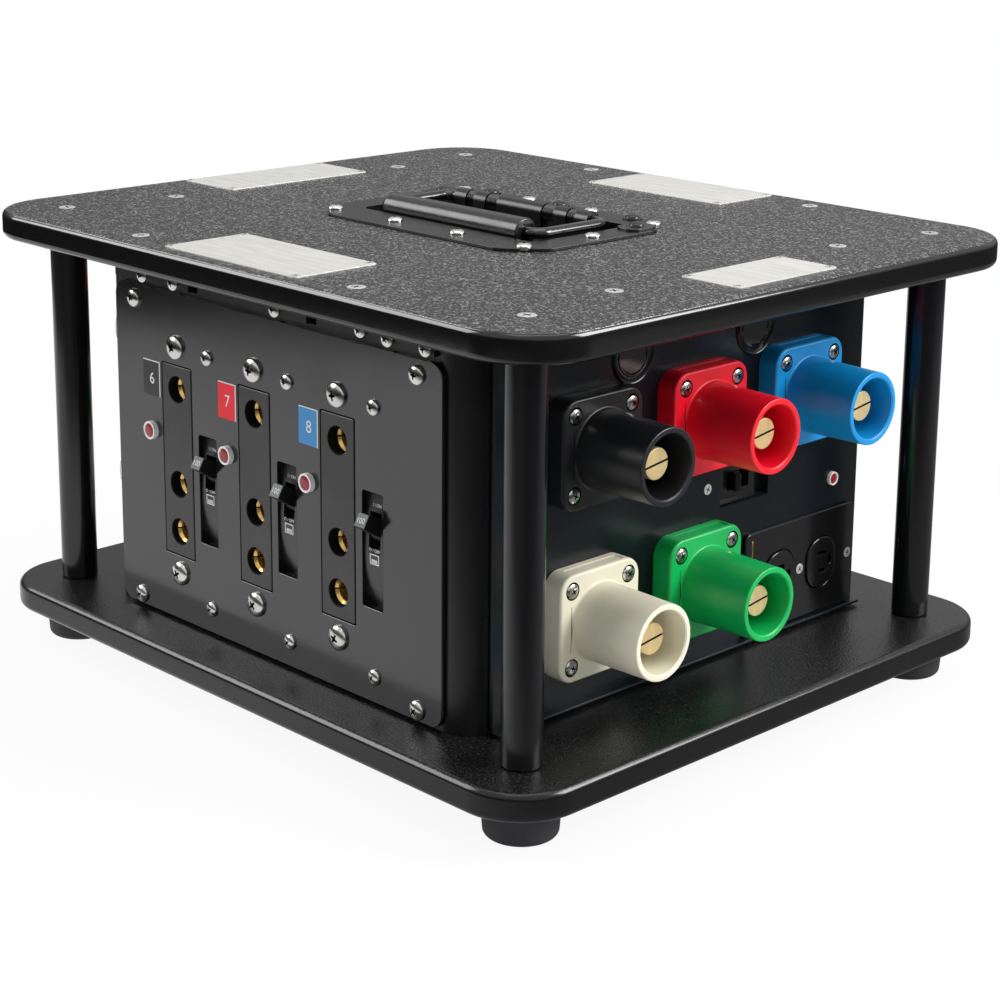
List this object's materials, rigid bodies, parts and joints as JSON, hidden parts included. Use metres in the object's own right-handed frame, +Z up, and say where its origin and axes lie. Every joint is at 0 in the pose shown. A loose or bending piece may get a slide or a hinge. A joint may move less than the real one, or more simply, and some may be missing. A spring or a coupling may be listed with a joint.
{
  "type": "power distribution box",
  "caption": "Portable stage power distribution box: two decks on posts round a steel enclosure with cam inlets, stage-pin outlets, breakers and a recessed carry handle.",
  "frame": {"origin": "centre of the bounding box on the floor, under the middle of the decks", "axes": "+Z up, -Y the side with circuits 6 to 8, +X the side with the cam inlets"},
  "size_m": [0.556, 0.472, 0.3285],
  "materials": {
    "deck": "pebbled black board with smooth rounded edges",
    "steel_black": "gloss black powder coat on sheet steel",
    "post_black": "gloss black paint on steel tube and wire",
    "rubber": "matt black rubber",
    "plastic_black": "moulded black plastic, satin",
    "cam_black": "moulded black, satin",
    "cam_red": "moulded red, satin",
    "cam_blue": "moulded blue, satin",
    "cam_white": "moulded off-white, satin",
    "cam_green": "moulded green, satin",
    "brass": "machined brass",
    "clear": "clear moulded plastic",
    "grip": "black moulded grip"
  },
  "bodies": {
    "root": {"base_deck": "deck", "top_deck": "deck", "deck_under_plate": "steel_black", "post_front_left": "post_black", "foot_front_left": "rubber", "post_front_right": "post_black", "foot_front_right": "rubber", "post_back_left": "post_black", "foot_back_left": "rubber", "post_back_right": "post_black", "foot_back_right": "rubber", "enclosure": "steel_black", "outlet_panel_front": "steel_black", "stage_outlet_6": "plastic_black", "breaker_6": "plastic_black", "stage_outlet_7": "plastic_black", "breaker_7": "plastic_black", "stage_outlet_8": "plastic_black", "breaker_8": "plastic_black", "outlet_panel_back": "steel_black", "stage_outlet_3": "plastic_black", "breaker_3": "plastic_black", "stage_outlet_4": "plastic_black", "breaker_4": "plastic_black", "stage_outlet_5": "plastic_black", "breaker_5": "plastic_black", "inlet_panel": "steel_black", "feed_through_panel": "steel_black", "cam_inlet_black": "cam_black", "cam_pin_black": "brass", "cam_inlet_red": "cam_red", "cam_pin_red": "brass", "cam_inlet_blue": "cam_blue", "cam_pin_blue": "brass", "cam_inlet_white": "cam_white", "cam_pin_white": "brass", "cam_inlet_green": "cam_green", "cam_pin_green": "brass", "cam_outlet_black": "cam_black", "cam_outlet_red": "cam_red", "cam_outlet_blue": "cam_blue", "cam_outlet_white": "cam_white", "cam_outlet_green": "cam_green", "duplex_receptacle": "plastic_black", "small_breaker": "plastic_black", "handle_pan": "steel_black"},
    "breaker_handle_6": {"breaker_handle_6": "plastic_black"},
    "breaker_handle_7": {"breaker_handle_7": "plastic_black"},
    "breaker_handle_8": {"breaker_handle_8": "plastic_black"},
    "breaker_handle_3": {"breaker_handle_3": "plastic_black"},
    "breaker_handle_4": {"breaker_handle_4": "plastic_black"},
    "breaker_handle_5": {"breaker_handle_5": "plastic_black"},
    "flip_cover_black": {"flip_cover_black": "clear"},
    "flip_cover_red": {"flip_cover_red": "clear"},
    "flip_cover_blue": {"flip_cover_blue": "clear"},
    "flip_cover_white": {"flip_cover_white": "clear"},
    "flip_cover_green": {"flip_cover_green": "clear"},
    "small_breaker_handle": {"small_breaker_handle": "plastic_black"},
    "carry_handle": {"handle_bail": "post_black", "handle_grip": "grip"}
  },
  "joints": [
    {"name": "breaker_6_switch", "type": "hinge", "parent": "root", "child": "breaker_handle_6", "pos_m": [-0.0644, -0.1864, 0.156], "axis": [1, 0, 0], "range_deg": [0, 56]},
    {"name": "breaker_7_switch", "type": "hinge", "parent": "root", "child": "breaker_handle_7", "pos_m": [0.0192, -0.1864, 0.156], "axis": [1, 0, 0], "range_deg": [0, 56]},
    {"name": "breaker_8_switch", "type": "hinge", "parent": "root", "child": "breaker_handle_8", "pos_m": [0.1028, -0.1864, 0.156], "axis": [1, 0, 0], "range_deg": [0, 56]},
    {"name": "breaker_3_switch", "type": "hinge", "parent": "root", "child": "breaker_handle_3", "pos_m": [0.0644, 0.1864, 0.156], "axis": [-1, 0, 0], "range_deg": [0, 56]},
    {"name": "breaker_4_switch", "type": "hinge", "parent": "root", "child": "breaker_handle_4", "pos_m": [-0.0192, 0.1864, 0.156], "axis": [-1, 0, 0], "range_deg": [0, 56]},
    {"name": "breaker_5_switch", "type": "hinge", "parent": "root", "child": "breaker_handle_5", "pos_m": [-0.1028, 0.1864, 0.156], "axis": [-1, 0, 0], "range_deg": [0, 56]},
    {"name": "cover_black_hinge", "type": "hinge", "parent": "root", "child": "flip_cover_black", "pos_m": [-0.2537, -0.0993, 0.2445], "axis": [0, 1, 0], "range_deg": [0, 100], "stiffness_Nm_per_rad": 0.01, "springref_deg": -22.92},
    {"name": "cover_red_hinge", "type": "hinge", "parent": "root", "child": "flip_cover_red", "pos_m": [-0.2537, 0, 0.2445], "axis": [0, 1, 0], "range_deg": [0, 100], "stiffness_Nm_per_rad": 0.01, "springref_deg": -22.92},
    {"name": "cover_blue_hinge", "type": "hinge", "parent": "root", "child": "flip_cover_blue", "pos_m": [-0.2537, 0.0993, 0.2445], "axis": [0, 1, 0], "range_deg": [0, 100], "stiffness_Nm_per_rad": 0.01, "springref_deg": -22.92},
    {"name": "cover_white_hinge", "type": "hinge", "parent": "root", "child": "flip_cover_white", "pos_m": [-0.2537, -0.0993, 0.1343], "axis": [0, 1, 0], "range_deg": [0, 100], "stiffness_Nm_per_rad": 0.01, "springref_deg": -22.92},
    {"name": "cover_green_hinge", "type": "hinge", "parent": "root", "child": "flip_cover_green", "pos_m": [-0.2537, 0, 0.1343], "axis": [0, 1, 0], "range_deg": [0, 100], "stiffness_Nm_per_rad": 0.01, "springref_deg": -22.92},
    {"name": "small_breaker_switch", "type": "hinge", "parent": "root", "child": "small_breaker_handle", "pos_m": [0.1768, 0.054, 0.1585], "axis": [0, 0, 1], "range_deg": [0, 56]},
    {"name": "carry_handle_hinge", "type": "hinge", "parent": "root", "child": "carry_handle", "pos_m": [0, 0.033, 0.3188], "axis": [-1, 0, 0], "range_deg": [0, 90], "stiffness_Nm_per_rad": 0.1, "springref_deg": -22.92}
  ]
}
